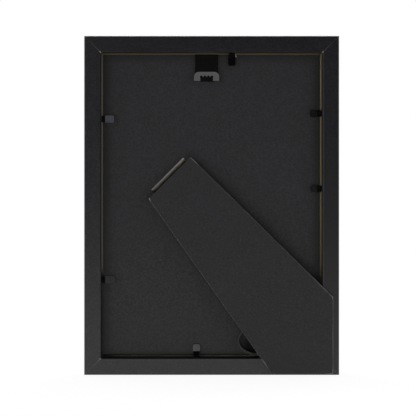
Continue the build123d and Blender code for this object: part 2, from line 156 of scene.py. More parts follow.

# Tones of the moulding's paint, its primer, and its bare fibreboard, set per rail as painted light and shade
PAINT = colour(0.0045, 0.0045, 0.0060)
PAINT_THIN = colour(0.0192, 0.0191, 0.0222)
# Painted highlight: the pale tone laid along the rails' inner arris
PAINTED_ARRIS_HIGHLIGHT = colour(0.055, 0.057, 0.066)
MITRE_LINE = colour(0.16, 0.155, 0.145)
PRIMER = colour(0.046, 0.054, 0.070)
# Bare fibreboard of each rail's wall, lighter or darker as painted light and shade: right and top lit, bottom
# shaded
BARE_TOP_AS_LIT = (colour(0.040, 0.030, 0.004), colour(0.092, 0.071, 0.014))
BARE_RIGHT_AS_LIT = (colour(0.106, 0.081, 0.019), colour(0.202, 0.158, 0.048))
BARE_LEFT_AS_LIT = (colour(0.066, 0.055, 0.023), colour(0.117, 0.098, 0.042))
BARE_BOTTOM_AS_SHADED = (colour(0.017, 0.016, 0.008), colour(0.040, 0.038, 0.019))
RAW_CORE = colour(0.72, 0.71, 0.70)
RAW_CORE_DEEP = colour(0.34, 0.275, 0.165)
DUST = colour(0.16, 0.155, 0.145)

# Tones of the black paper, of the core where it is worn through, and of the other pieces
PAPER = colour(0.0066, 0.0062, 0.0070)
PAPER_WORN = colour(0.0234, 0.0233, 0.0230)
PAPER_WORN_VIOLET = colour(0.0166, 0.0147, 0.0194)
# Painted shade: the paper's tone where the rails, the leg and the ribbon's loop shade it
PAPER_PAINTED_SHADE = colour(0.0020, 0.0019, 0.0019)
CORE_WORN = (colour(0.12, 0.118, 0.112), colour(0.29, 0.28, 0.262))
# Painted shade: the black laid on the steel near the rail
STEEL_BLACK = colour(0.004, 0.004, 0.0042)
ZINC = (colour(0.385, 0.385, 0.395), colour(0.53, 0.53, 0.52))
GLASS = (colour(0.975, 0.99, 0.982), colour(0.985, 0.995, 0.99))
GLASS_SHADE = colour(0.96, 0.975, 0.967)
INSERT_FRONT = (colour(0.80, 0.79, 0.76), colour(0.84, 0.83, 0.81))
INSERT_BACK = (colour(0.004, 0.004, 0.004), colour(0.009, 0.0088, 0.0085))
RIBBON_THREADS = (colour(0.014, 0.0145, 0.015), colour(0.034, 0.035, 0.036))
RIBBON_SELVEDGE = colour(0.06, 0.062, 0.064)
FLOOR_PAPER = colour(0.82, 0.82, 0.82)
WHITE = colour(1, 1, 1)

# Pale line at each mitre: its width, and where and how weakly it begins at the outer corner
MITRE_LINE_W = 0.42 * MM
MITRE_LINE_START = 1.0 * MM
MITRE_LINE_LEAST = 0.35

# Paint chipped off at the inner end of a mitre, and the noise at which it is
CORNER_CHIP = 0.5 * MM
CHIP_RANGE = (0.3, 0.6)

# The rabbet's wall, as a distance from the outer edge, and the edge of its paint
WALL_EDGE = (RAIL_BACK_W - 0.12 * MM, RAIL_BACK_W - 0.02 * MM)
WALL_END_Y = LEDGE_Y + 0.05 * MM
WALL_PAINT_RAGGED = 0.5 * MM
WALL_PAINT_SOFT = 0.4 * MM
PRIMER_SOFT = 0.5 * MM
PAINTED_OVER_FADE = 9 * MM
PAINTED_OVER_LEFT = 0.25

# The wall's foot at the panel, painted paler as painted light and frayed higher up: its depth, how the
# fraying fades in with height, its noise and its share
PALE_AND_FRAYED_FOOT = (RECESS - 1.3 * MM, RECESS - 0.6 * MM)
FRAY_FADE = 6 * MM
FRAY_RANGE = (0.5, 0.6)
PALE_AND_FRAY_SHARE = 0.25

# The arris's painted highlight and the wall's dark edge, as distances from the outer edge, and the
# highlight's broken share
ARRIS_HIGHLIGHT = (RAIL_BACK_W - 0.65 * MM, RAIL_BACK_W - 0.3 * MM)
ARRIS_HIGHLIGHT_LEAST = 0.2
ARRIS_HIGHLIGHT_MOST = 1.4
DARK_EDGE = (RAIL_BACK_W - 0.25 * MM, RAIL_BACK_W - 0.05 * MM)

# Worn paint on the outer edges, and the shares of pebbled paint, of painted shade low on a rail, and of dusty
# paint
OUTER_WEAR = (0.05 * MM, 0.5 * MM)
OUTER_WEAR_SHARE = 0.25
PEBBLE_RANGE = (0.42, 0.58)
LOW_SHADE_SHARE = 0.95
LOW_SHADE_FULL = 0.3
WALL_PAINT_SHARE = 0.8
RAIL_DUST_SHARE = 0.35

# Black paper: the heights and the noise at which its wear turns violet, and the shares of dust and lint
VIOLET_RISE = (35 * MM, 110 * MM)
VIOLET_RANGE = (0.38, 0.62)
DUST_SHARE = 0.5
LINT_SHARE = 0.4

# For each panel: how much violet wear at the foot and higher up, then where the foot is painted paler as
# painted light and how much
BOARD_WEAR_AND_LIT_FOOT = (-0.12, 0.12, 50 * MM, 10 * MM, 0.3)
LEG_WEAR_AND_LIT_FOOT = (0.02, 0.09, 34 * MM, 0.0, 0.34)

# Painted shade on the board's paper: the border at the rails, narrower at the bottom, what the leg covers,
# and the ribbon's loop with its place right and up
SHADE_BORDER = 6.0 * MM
SHADE_BORDER_SHARE = 0.75
SHADE_BOTTOM_NARROWER = 2.4
UNDER_LEG = (-2.4 * MM, 0.8 * MM)
UNDER_LEG_START = 12.0 * MM
UNDER_LEG_SHARE = 0.55
LOOP_MIDDLE = (26.5 * MM, 17.5 * MM)
LOOP_REACH = 9.0 * MM
LOOP_CORE = 0.45 * LOOP_REACH
LOOP_SHARE = 0.92

# Corners of the leg's outer face, right and up
LEG_OUTLINE = (
    (-37.52 * MM, 104.8 * MM), (-12.7 * MM, 129.62 * MM), (71.84 * MM, 46.46 * MM),
    (71.84 * MM, 1.06 * MM), (35.64 * MM, 1.06 * MM),
)

# Wear along the leg's edges: its width, the least of it, and the spots where it goes further, each with its
# place right and up, how far round it, and how much wider
EDGE_WEAR = (-0.2 * MM, 0.5 * MM)
EDGE_WEAR_LEAST = 0.02 * MM
WORN_SPOTS = (
    (-37.3 * MM, 104.7 * MM, 2.2 * MM, 1.5 * MM), (-12.0 * MM, 128.0 * MM, 7.0 * MM, 0.4 * MM),
    (31.4 * MM, 7.7 * MM, 4.0 * MM, 0.7 * MM), (65.0 * MM, 53.0 * MM, 11.0 * MM, 0.3 * MM),
    (71.6 * MM, 46.4 * MM, 3.0 * MM, 0.5 * MM), (71.8 * MM, 18.0 * MM, 34.0 * MM, 0.24 * MM),
    (71.8 * MM, 1.1 * MM, 5.0 * MM, 0.6 * MM),
)

# Rails: the name of the finish, the grain, how deep the wall is painted and its bare tones in painted light
# and shade, then what is particular to the rail
RAILS = {
    "rail_top": (("satin_black_top_rail", LEVEL_GRAIN, 2.0 * MM, BARE_TOP_AS_LIT), {"dark_edge": 0.6}),
    "rail_bottom": (("satin_black_bottom_rail", LEVEL_GRAIN, 3.6 * MM, BARE_BOTTOM_AS_SHADED), {}),
    "rail_left": (
        ("satin_black_left_rail", UPRIGHT_GRAIN, 1.3 * MM, BARE_LEFT_AS_LIT),
        {"primer": 1.2 * MM, "painted_below": 58 * MM, "dark_edge": 1.0},
    ),
    "rail_right": (
        ("satin_black_right_rail", UPRIGHT_GRAIN, 2.4 * MM, BARE_RIGHT_AS_LIT),
        {"arris_highlight": 1.0, "shaded_below": 185 * MM, "frayed_above": 162 * MM, "dark_edge": 0.8},
    ),
}

# Blackened steel: the name of the finish, how pale it is rubbed, set per piece as painted light and shade,
# how far from the rail it is painted black as painted shade, and how blue the rubbed part is, a painted
# reflection
TAB_NECK = 2.5 * MM
BLACKENED = {
    "sawtooth_hanger": ("blackened_hanger_steel", 0.098, 0.0, 1.0),
    "tab_left_upper": ("blackened_left_upper_tab", 0.088, TAB_NECK, 1.22),
    "tab_left_lower": ("blackened_left_lower_tab", 0.070, TAB_NECK, 1.0),
    "tab_top": ("blackened_top_tab", 0.05, 12.0 * MM, 1.0),
    "tab_bottom": ("blackened_bottom_tab", 0.078, TAB_NECK, 1.0),
}
BLACKENED_OTHER_TABS = ("blackened_spring_steel", 0.105, 3.3 * MM, 1.0)
RUBBED_LEAST = (0.66, 0.68)
BLACK_SOFT = 0.3 * MM

# How much further from the rail the bottom flexible point is painted black as painted shade
TAB_BOTTOM_MORE = 1.5 * MM

# Stay ribbon: its line from the hinge's middle in mm, toward the foot, along the hinge and outward
RIBBON_W = 4.2 * MM
RIBBON_T = 0.5 * MM
RIBBON_LEAN = (math.radians(5), math.radians(20))
RIBBON_LEAN_SPAN = (0.445, 0.61)
RIBBON_FLAT = 4.0 * MM
RIBBON_TWIST = 12.0 * MM
RIBBON_LENGTH = 81.5 * MM
RIBBON_STEPS = 16
RIBBON_SMOOTH = math.radians(50)
RIBBON_ROUTE = (
    (94.0, -2.2, 0.28), (94.0, -9.0, 0.4), (94.0, -14.0, 2.14), (93.9, -27.0, 2.24), (94.1, -34.0, 2.25),
    (95.1, -38.3, 2.27), (97.2, -40.6, 2.3), (100.2, -41.5, 2.35), (104.0, -41.1, 2.4), (107.5, -39.8, 2.48),
    (110.3, -37.2, 2.52), (112.2, -32.8, 2.55), (113.5, -23.0, 2.65), (113.5, -17.0, 4.6),
    (113.5, -10.2, 4.87),
)

# The ribbon's weave: the pitch of its ribs and threads, its selvedge from its middle, and its relief
RIB_PITCH = 0.42 * MM
THREAD_PITCH = 0.3 * MM
SELVEDGE = (0.38, 0.44)
SELVEDGE_SHARE = 0.3
WEAVE_RANGE = (0.3, 0.7)
FUZZ_SHARE = 0.5

# Splinter of the rabbet beside the top flexible point, lying on the back panel
SPLINTER_W = 0.55 * MM
SPLINTER_T = 0.45 * MM
SPLINTER_L = 1.5 * MM
SPLINTER_GAP = 0.05 * MM
SPLINTER_Z = 189.9 * MM
SPLINTER = (
    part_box("tab_top")[1].x + SPLINTER_W / 2 + SPLINTER_GAP, BOARD_BACK_Y - SPLINTER_T / 2, SPLINTER_Z,
)
SPLINTER_TIP_SHARE = 0.4
SPLINTER_TAPER = (0.62, 0.7, 1)
SPLINTER_SMOOTH = math.radians(40)

# White floor: its size, how far it lies before the object, and its glow near the object and away from it
FLOOR_SIZE = 6.0
FLOOR_BEFORE = 0.8
FLOOR_GLOW = 0.93
FLOOR_SHADOW_NEAR = 0.3
FLOOR_SHADOW_FAR = 0.8

# The room's light before the easel side and behind it, and between which directions it changes
WORLD_BEFORE = 0.035
WORLD_BEHIND = 0.8
WORLD_TURN = (-0.2, 0.7)

# Soft lights: name, place, the point it faces, size and power
SOFT_LIGHTS = (
    ("far_left_softbox", (-1.5, -0.7, 0.64), (0, 0, 0.1), 1.2, 10),
    ("far_right_softbox", (1.5, -0.7, 0.64), (0, 0, 0.1), 1.2, 8),
    ("front_left_softbox", (-0.52, -1.1, 0.3), (0, 0, 0.12), 0.36, 0.35),
    ("picture_softbox", (0.7, 1.3, 0.75), (0, 0, 0.1), 0.8, 9),
    ("floor_softbox", (-0.1, 0.35, 1.5), (-0.1, -0.4, 0), 0.8, 22),
)

# Camera: straight before the easel side, with the photograph's width at the moulding's back
VIEW_X = -2.17 * MM
VIEW_Z = 99.2 * MM
VIEW_DISTANCE = 0.95
VIEW_WIDTH = 247.1 * MM
SENSOR_W = 36.0


class Nodes:
    """A node tree in the making, with short ways to add to it."""

    def __init__(self, tree):
        self.tree = tree

    def add(self, kind):
        """Adds a node of a kind."""
        return self.tree.nodes.new(kind)

    def join(self, value, socket):
        """Gives a socket a value: another node's output, or a number or colour."""
        if isinstance(value, bpy.types.NodeSocket):
            self.tree.links.new(value, socket)
        else:
            socket.default_value = value

    def split(self, vector):
        """Gives a vector's three parts."""
        node = self.add("ShaderNodeSeparateXYZ")
        self.join(vector, node.inputs[0])
        return node.outputs

    def math(self, operation, first, second=0.0):
        """Gives the result of an operation on one or two values."""
        node = self.add("ShaderNodeMath")
        node.operation = operation
        self.join(first, node.inputs[0])
        self.join(second, node.inputs[1])
        return node.outputs[0]

    def vector_math(self, operation, first, second=(0, 0, 0)):
        """Gives the outputs of an operation on one or two places."""
        node = self.add("ShaderNodeVectorMath")
        node.operation = operation
        self.join(first, node.inputs[0])
        self.join(second, node.inputs[1])
        return node.outputs

    def combined(self, operation, values):
        """Gives the result of an operation carried on over several values."""
        total, *others = values
        for value in others:
            total = self.math(operation, total, value)
        return total

    def added(self, *values):
        """Gives the sum of values."""
        return self.combined("ADD", values)

    def times(self, *values):
        """Gives the product of values."""
        return self.combined("MULTIPLY", values)

    def least(self, *values):
        """Gives the smallest of values."""
        return self.combined("MINIMUM", values)

    def most(self, *values):
        """Gives the largest of values."""
        return self.combined("MAXIMUM", values)

    def minus(self, first, second):
        """Gives a value less another."""
        return self.math("SUBTRACT", first, second)

    def size(self, value):
        """Gives a value without its sign."""
        return self.math("ABSOLUTE", value)

    def ramp(self, value, low, high, first=0.0, last=1.0):
        """Gives a smooth change from a first to a last level while a value goes from low to high."""
        node = self.add("ShaderNodeMapRange")
        node.interpolation_type = "SMOOTHSTEP"
        self.join(value, node.inputs["Value"])
        self.join(low, node.inputs["From Min"])
        self.join(high, node.inputs["From Max"])
        self.join(first, node.inputs["To Min"])
        self.join(last, node.inputs["To Max"])
        return node.outputs["Result"]

    def span(self, share, first, last):
        """Gives the level between two others at a share from 0 to 1."""
        node = self.add("ShaderNodeMapRange")
        self.join(share, node.inputs["Value"])
        self.join(first, node.inputs["To Min"])
        self.join(last, node.inputs["To Max"])
        return node.outputs["Result"]

    def mix_shaders(self, share, first, second):
        """Gives one surface turning into another."""
        node = self.add("ShaderNodeMixShader")
        for value, socket in zip((share, first, second), node.inputs):
            self.join(value, socket)
        return node.outputs[0]

    def rays(self, *kinds):
        """Gives 1 for rays of the named kinds."""
        path = self.add("ShaderNodeLightPath")
        return self.most(*(path.outputs[kind] for kind in kinds))


class Finish(Nodes):
    """A finish in the making: a material and its surface shader, with patterns laid out on the piece."""

    def __init__(self, name):
        self.material = bpy.data.materials.new(name)
        self.material.use_nodes = True
        super().__init__(self.material.node_tree)
        self.shader = self.tree.nodes["Principled BSDF"]
        coordinates = self.add("ShaderNodeTexCoord")
        self.place = coordinates.outputs["Object"]
        self.facing = coordinates.outputs["Normal"]
        self.uv = coordinates.outputs["UV"]
        self.x, self.y, self.z = self.split(self.place)

    def stretched(self, vector, scale):
        """Gives a place scaled along each direction."""
        return self.vector_math("MULTIPLY", vector, scale)[0]

    def noise(self, size, detail, roughness, drawn=None):
        """Gives cloudy noise whose spots have about the given size, drawn out where that is given."""
        node = self.add("ShaderNodeTexNoise")
        self.join(1 / size, node.inputs["Scale"])
        self.join(detail, node.inputs["Detail"])
        self.join(roughness, node.inputs["Roughness"])
        self.join(self.stretched(self.place, drawn) if drawn else self.place, node.inputs["Vector"])
        return node.outputs[0]

    def specks(self, spacing, radius, share):
        """Gives scattered round specks, of which only a share is kept."""
        node = self.add("ShaderNodeTexVoronoi")
        self.join(1 / spacing, node.inputs["Scale"])
        self.join(self.place, node.inputs["Vector"])
        dot = self.ramp(node.outputs["Distance"], radius / spacing, 0.5 * radius / spacing)
        kept = self.math("LESS_THAN", self.split(node.outputs["Color"])[0], share)
        return self.times(dot, kept)

    def apart_from(self, right, up):
        """Gives the distance from a spot, measured along the back."""
        on_back = self.stretched(self.place, (1, 0, 1))
        return self.vector_math("DISTANCE", on_back, (right, 0, up))["Value"]

    def mix(self, share, first, second):
        """Gives one colour turning into another."""
        node = self.add("ShaderNodeMix")
        node.data_type = "RGBA"
        self.join(share, node.inputs["Factor"])
        self.join(first, node.inputs[6])
        self.join(second, node.inputs[7])
        return node.outputs[2]

    def bump(self, height, strength, depth):
        """Raises the surface by a height pattern."""
        node = self.add("ShaderNodeBump")
        self.join(strength, node.inputs["Strength"])
        self.join(depth, node.inputs["Distance"])
        self.join(height, node.inputs["Height"])
        self.join(node.outputs[0], self.shader.inputs["Normal"])

    def set(self, **values):
        """Sets the shader's sockets, named with low lines for blanks."""
        for name, value in values.items():
            self.join(value, self.shader.inputs[name.replace("_", " ")])


def rail_places(finish):
    """Gives how far a place on a rail lies from the outer edge and the mitre, and how deep from the back."""
    from_side = finish.minus(OUTER_HALF_W, finish.size(finish.x))
    from_end = finish.least(finish.z, finish.minus(OUTER_H, finish.z))
    off_mitre = finish.size(finish.minus(from_side, from_end))
    return finish.least(from_side, from_end), off_mitre, finish.minus(finish.y, BACK_Y)


def bare_wall(finish, depth, tones, primer_end, frayed_above):
    """Gives a rabbet's bare wall: fibreboard in painted light and shade, primer at its edge, a paler, frayed
    foot where asked.
    """
    wood = finish.mix(finish.noise(*WOOD_FIBRE), *tones)
    if primer_end:
        wood = finish.mix(finish.ramp(depth, primer_end + PRIMER_SOFT, primer_end), wood, PRIMER)
    if frayed_above:
        at_foot = finish.ramp(depth, *PALE_AND_FRAYED_FOOT)
        # Painted light: the wall's foot at the panel is paler, where the crease between wall and panel lies
        # in shade
        wood = finish.mix(finish.times(at_foot, PALE_AND_FRAY_SHARE), wood, RAW_CORE_DEEP)
        high_up = finish.ramp(finish.z, frayed_above, frayed_above + FRAY_FADE)
        fray = finish.times(at_foot, high_up, finish.ramp(finish.noise(*BLOTCHES), *FRAY_RANGE))
        wood = finish.mix(finish.times(fray, PALE_AND_FRAY_SHARE), wood, RAW_CORE)
    return wood


def satin_black_moulding(name, grain, painted, lit_bare_tones, arris_highlight=0.0, primer=0.0, painted_below=0.0,
                         shaded_below=0.0, frayed_above=0.0, dark_edge=0.0):
    """Gives a rail's finish: satin black paint, a wall bare below the paint's edge, pale lines at the mitres.

    The wall is painted to a depth, and primer shows for some way below that. Below one height the wall is
    painted over, below another the back is darkened by painted shade, and above a third the wall's foot is
    frayed.
    The arris highlight and dark edge are shares, of painted highlight on the back and of black on the painted
    wall.
    """
    finish = Finish(name)
    nearest, off_mitre, depth = rail_places(finish)
    broken = finish.noise(*BROKEN)
    in_wall = finish.ramp(nearest, *WALL_EDGE)

    paint_end = finish.added(
        finish.span(finish.noise(*RAGGED_PAINT), -WALL_PAINT_RAGGED, WALL_PAINT_RAGGED), painted)
    below_paint = finish.ramp(depth, paint_end, finish.added(paint_end, WALL_PAINT_SOFT))
    behind_lip = finish.math("LESS_THAN", finish.y, WALL_END_Y)
    not_painted_over = finish.ramp(finish.z, painted_below, painted_below + PAINTED_OVER_FADE)
    left_bare = finish.span(not_painted_over, PAINTED_OVER_LEFT, 1.0)
    bare = finish.times(in_wall, behind_lip, below_paint, left_bare)
    wood = bare_wall(finish, depth, lit_bare_tones, primer and painted + primer, frayed_above)

    pebble = finish.noise(*PEBBLE)
    paint = finish.mix(finish.ramp(pebble, *PEBBLE_RANGE), PAINT, PAINT_THIN)
    # Painted shade: the back's paint darkens toward the bottom, below a given height
    if shaded_below:
        low_shade = finish.ramp(finish.z, shaded_below, LOW_SHADE_FULL * shaded_below)
        paint = finish.mix(finish.times(low_shade, LOW_SHADE_SHARE), paint, PAINT)
    worn_outer = finish.ramp(nearest, finish.span(broken, *OUTER_WEAR), 0.0)
    paint = finish.mix(finish.times(worn_outer, OUTER_WEAR_SHARE), paint, MITRE_LINE)
    # Painted highlight: a pale line along the inner arris on the back
    on_arris_highlight = finish.times(
        finish.ramp(nearest, *ARRIS_HIGHLIGHT), finish.span(broken, ARRIS_HIGHLIGHT_LEAST * arris_highlight, ARRIS_HIGHLIGHT_MOST * arris_highlight))
    paint = finish.mix(finish.minus(on_arris_highlight, in_wall), paint, PAINTED_ARRIS_HIGHLIGHT)
    paint = finish.mix(finish.times(in_wall, WALL_PAINT_SHARE), paint, PAINT)
    on_edge = finish.times(
        finish.ramp(nearest, *DARK_EDGE), finish.minus(1.0, below_paint), not_painted_over, dark_edge)
    paint = finish.mix(on_edge, paint, PAINT)
    paint = finish.mix(finish.times(finish.specks(*RAIL_SPECKS), RAIL_DUST_SHARE), paint, DUST)

    line = finish.minus(1.0, finish.ramp(off_mitre, 0.0, finish.span(broken, 0.0, MITRE_LINE_W)))
    toward_inside = finish.span(finish.ramp(nearest, MITRE_LINE_START, RAIL_BACK_W), MITRE_LINE_LEAST, 1.0)
    paint = finish.mix(finish.times(line, toward_inside), paint, MITRE_LINE)
    chip = finish.times(
        finish.ramp(off_mitre, CORNER_CHIP, 0.4 * CORNER_CHIP),
        finish.ramp(nearest, RAIL_BACK_W - 2 * CORNER_CHIP, RAIL_BACK_W - 0.6 * CORNER_CHIP),
        finish.math("LESS_THAN", depth, 2 * CORNER_CHIP),
        finish.ramp(broken, *CHIP_RANGE),
    )
    paint = finish.mix(chip, paint, RAW_CORE_DEEP)

    streaks = finish.noise(*BRUSH_STREAKS, grain)
    finish.set(
        Base_Color=finish.mix(bare, paint, wood),
        Roughness=finish.most(finish.span(streaks, *PAINT_ROUGHNESS), finish.times(bare, BARE_ROUGHNESS)),
        Specular_IOR_Level=finish.span(on_edge, PAINT_GLOSS, DARK_EDGE_GLOSS),
    )
    finish.bump(finish.added(finish.noise(*FINE_GRAIN), streaks, pebble), *PAINT_BUMP)
    return finish.material


def black_paper(name, violet_low, violet_high, lit_foot_top, lit_foot_end, lit_foot_share):
    """Starts the finish of black-papered fibreboard: its grain, and its paper's tone, painted paler at the
    foot as painted light.
    """
    finish = Finish(name)
    pebble = finish.noise(*PEBBLE)
    violet = finish.span(finish.ramp(finish.z, *VIOLET_RISE), violet_low, violet_high)
    violet = finish.ramp(finish.added(finish.noise(*BLOTCHES), violet), *VIOLET_RANGE)
    worn = finish.mix(violet, PAPER_WORN, PAPER_WORN_VIOLET)
    paper = finish.mix(finish.ramp(pebble, *PEBBLE_RANGE), PAPER, worn)
    dust = finish.times(finish.specks(*PAPER_DUST), finish.noise(*DUST_CLOUD), DUST_SHARE)
    lint = finish.times(finish.specks(*PAPER_LINT), LINT_SHARE)
    paper = finish.mix(finish.most(dust, lint), paper, DUST)
    # Painted light: the paper is paler toward the foot, standing in for light from below
    at_foot = finish.times(finish.ramp(finish.z, lit_foot_top, lit_foot_end), lit_foot_share)
    paper = finish.mix(at_foot, paper, PAPER_WORN)
    finish.set(Roughness=finish.span(finish.noise(*PAPER_CLOUD), *PAPER_ROUGHNESS))
    finish.bump(finish.added(finish.noise(*PAPER_FIBRE), pebble), *PAPER_BUMP)
    return finish, paper


def turned_from_back(finish, least, most):
    """Gives where a panel's surface turns away from its front and back, from a little to wholly."""
    return finish.ramp(finish.size(finish.split(finish.facing)[1]), least, most)


def cut_edge(finish):
    """Gives where a panel's surface is one of its cut edges."""
    return turned_from_back(finish, *CUT_EDGE)


def inside_leg(finish):
    """Gives how far a place lies inside the leg's outline, from every edge but the one at the hinge."""
    nearest = 1.0
    for here, there in zip(LEG_OUTLINE[1:], LEG_OUTLINE[2:] + LEG_OUTLINE[:1]):
        run = Vector((there[0] - here[0], there[1] - here[1])).normalized()
        right = finish.times(finish.minus(finish.x, here[0]), run.y)
        up = finish.times(finish.minus(finish.z, here[1]), -run.x)
        nearest = finish.least(nearest, finish.added(right, up))
    return nearest


def papered_backboard():
    """Gives the back panel's finish: black paper with painted shade, and a bare core in the slot's bevel and
    at the edges.
    """
    finish, paper = black_paper("black_papered_backboard", *BOARD_WEAR_AND_LIT_FOOT)
    right = finish.minus(finish.x, HINGE.x)
    up = finish.minus(finish.z, HINGE.z)
    foot = finish.times(finish.minus(right, up), DIAGONAL)
    along = finish.times(finish.added(right, up), DIAGONAL)

    down_bevel = finish.ramp(foot, 0.2 * SLOT_BEVEL - SLOT_FAR, 0.8 * SLOT_BEVEL - SLOT_FAR)
    core = finish.mix(down_bevel, RAW_CORE, RAW_CORE_DEEP)
    core = finish.mix(finish.times(finish.noise(*CORE_FIBRE), CORE_FIBRE_SHARE), core, RAW_CORE_DEEP)
    in_slot = finish.times(
        finish.ramp(finish.size(finish.minus(along, SLOT_SHIFT)), SLOT_HALF + SLOT_END_SOFT, SLOT_HALF),
        finish.ramp(foot, SLOT_NEAR + SLOT_SOFT, SLOT_NEAR),
        finish.ramp(foot, -SLOT_FAR - SLOT_SOFT, -SLOT_FAR),
    )
    shown = finish.most(cut_edge(finish), finish.times(in_slot, turned_from_back(finish, *BEVEL_TILT)))

    # Painted shade: darker paper along the rails, under and beside the leg, and inside the ribbon's loop,
    # which also loses sheen
    from_rail = finish.least(
        finish.minus(BOARD_HIGH.x, finish.x),
        finish.minus(BOARD_HIGH.z, finish.z),
        finish.times(finish.minus(finish.z, BOARD_LOW.z), SHADE_BOTTOM_NARROWER),
        finish.minus(finish.x, BOARD_LOW.x),
    )
    at_rail = finish.times(finish.ramp(from_rail, SHADE_BORDER, 0.0), SHADE_BORDER_SHARE)
    under_leg = finish.times(
        finish.ramp(inside_leg(finish), *UNDER_LEG), UNDER_LEG_SHARE, finish.ramp(foot, 0.0, UNDER_LEG_START))
    in_loop = finish.ramp(finish.apart_from(*LOOP_MIDDLE), LOOP_REACH, LOOP_CORE)
    painted_shade = finish.most(at_rail, under_leg, finish.times(in_loop, LOOP_SHARE))
    paper = finish.mix(painted_shade, paper, PAPER_PAINTED_SHADE)
    finish.set(
        Base_Color=finish.mix(shown, paper, core),
        Specular_IOR_Level=finish.span(in_loop, PAPER_GLOSS, LOOP_GLOSS),
    )
    return finish.material


def papered_leg():
    """Gives the leg's finish: black paper worn through along its cut edges and at its corners."""
    finish, paper = black_paper("black_papered_leg", *LEG_WEAR_AND_LIT_FOOT)
    width = finish.span(finish.noise(*RAGGED_PAPER), *EDGE_WEAR)
    for right, up, radius, more in WORN_SPOTS:
        spot = finish.ramp(finish.apart_from(right, up), radius, 0.0)
        width = finish.added(width, finish.times(spot, more))
    worn = finish.ramp(inside_leg(finish), finish.most(width, EDGE_WEAR_LEAST), 0.0)
    bare = finish.mix(finish.noise(*WORN_FIBRE), *CORE_WORN)
    finish.set(Base_Color=finish.mix(finish.most(cut_edge(finish), worn), paper, bare))
    return finish.material


def blackened_steel(name, pale, neck, blue):
    """Gives the finish of the hanger or a flexible point: rubbed steel, painted black near the rail as
    painted shade.
    """
    finish = Finish(name)
    rub = finish.noise(*STEEL_RUB, STEEL_RUB_DRAWN)
    grey, bluish = (share * pale for share in RUBBED_LEAST)
    dull = colour(grey, grey, bluish * blue)
    rubbed = finish.mix(finish.noise(*STEEL_CLOUD), dull, colour(pale, pale, pale * blue))
    from_rail = finish.least(
        finish.minus(OUTER_HALF_W - RAIL_BACK_W, finish.size(finish.x)),
        finish.minus(OUTER_H - RAIL_BACK_W, finish.z),
        finish.minus(finish.z, RAIL_BACK_W + TAB_BOTTOM_MORE),
    )
    # Painted shade: near the rail the steel is painted black, not metal, where the rail shades it
    black = finish.ramp(from_rail, neck + BLACK_SOFT, neck - BLACK_SOFT)
    finish.set(
        Base_Color=finish.mix(black, rubbed, STEEL_BLACK),
        Metallic=finish.minus(1.0, black),
        Roughness=finish.span(rub, *STEEL_ROUGHNESS),
        Specular_IOR_Level=STEEL_GLOSS,
    )
    finish.bump(rub, *STEEL_BUMP)
    return finish.material


def bright_steel():
    """Gives the finish of the hinge, its pin and the fasteners: zinc-bright steel with a fine brush."""
    finish = Finish("zinc_bright_steel")
    brush = finish.noise(*ZINC_BRUSH, ZINC_BRUSH_DRAWN)
    finish.set(
        Base_Color=finish.mix(finish.noise(*ZINC_CLOUD), *ZINC),
        Metallic=1.0,
        Roughness=finish.span(brush, *ZINC_ROUGHNESS),
    )
    finish.bump(brush, *ZINC_BUMP)
    return finish.material


def picture_glass():
    """Gives the finish of the clear pane: faintly green, with wiping marks, and a light shadow."""
    finish = Finish("clear_picture_glass")
    wiped = finish.noise(*WIPING)
    finish.set(
        Base_Color=finish.mix(wiped, *GLASS),
        Roughness=finish.span(wiped, *GLASS_ROUGHNESS),
        Transmission_Weight=1.0,
        IOR=1.5,
    )
    clear = finish.add("ShaderNodeBsdfTransparent")
    finish.join(GLASS_SHADE, clear.inputs["Color"])
    pane = finish.mix_shaders(finish.rays("Is Shadow Ray"), finish.shader.outputs[0], clear.outputs[0])
    finish.join(pane, finish.tree.nodes["Material Output"].inputs["Surface"])
    return finish.material


def blank_insert_paper():
    """Gives the finish of the blank picture insert: white paper with a soft tooth on dark card."""
    finish = Finish("blank_insert_paper")
    tooth = finish.noise(*INSERT_TOOTH)
    from_behind = finish.math("LESS_THAN", finish.split(finish.facing)[1], -0.5)
    front = finish.mix(finish.noise(*INSERT_CLOUD), *INSERT_FRONT)
    finish.set(
        Base_Color=finish.mix(from_behind, front, finish.mix(tooth, *INSERT_BACK)),
        Roughness=finish.span(tooth, *INSERT_ROUGHNESS),
        Specular_IOR_Level=INSERT_GLOSS,
    )
    finish.bump(tooth, *INSERT_BUMP)
    return finish.material


def woven_ribbon():
    """Gives the ribbon's finish: black cross-ribbed weave with a paler selvedge along both edges."""
    finish = Finish("black_woven_ribbon")
    along, across, _ = finish.split(finish.uv)
    rib = finish.math("SINE", finish.times(along, 2 * math.pi * RIBBON_LENGTH / RIB_PITCH))
    thread = finish.math("SINE", finish.times(across, 2 * math.pi * RIBBON_W / THREAD_PITCH))
    weave = finish.span(finish.times(rib, thread), *WEAVE_RANGE)
    fuzz = finish.noise(*RIBBON_FUZZ)
    selvedge = finish.ramp(finish.size(finish.minus(across, 0.5)), *SELVEDGE)
    threads = finish.mix(fuzz, *RIBBON_THREADS)
    finish.set(
        Base_Color=finish.mix(finish.times(selvedge, SELVEDGE_SHARE), threads, RIBBON_SELVEDGE),
        Roughness=finish.span(weave, *RIBBON_ROUGHNESS),
        Sheen_Weight=0.08,
        Sheen_Roughness=0.4,
    )
    finish.bump(finish.added(weave, finish.times(fuzz, FUZZ_SHARE)), *RIBBON_BUMP)
    return finish.material


def fibreboard_splinter():
    """Gives the splinter's finish: pale torn fibres."""
    finish = Finish("pale_fibreboard_splinter")
    torn = finish.noise(*TORN_FIBRE, TORN_DRAWN)
    finish.set(
        Base_Color=finish.mix(torn, RAW_CORE_DEEP, RAW_CORE),
        Roughness=finish.span(torn, *TORN_ROUGHNESS),
    )
    finish.bump(torn, *TORN_BUMP)
    return finish.material


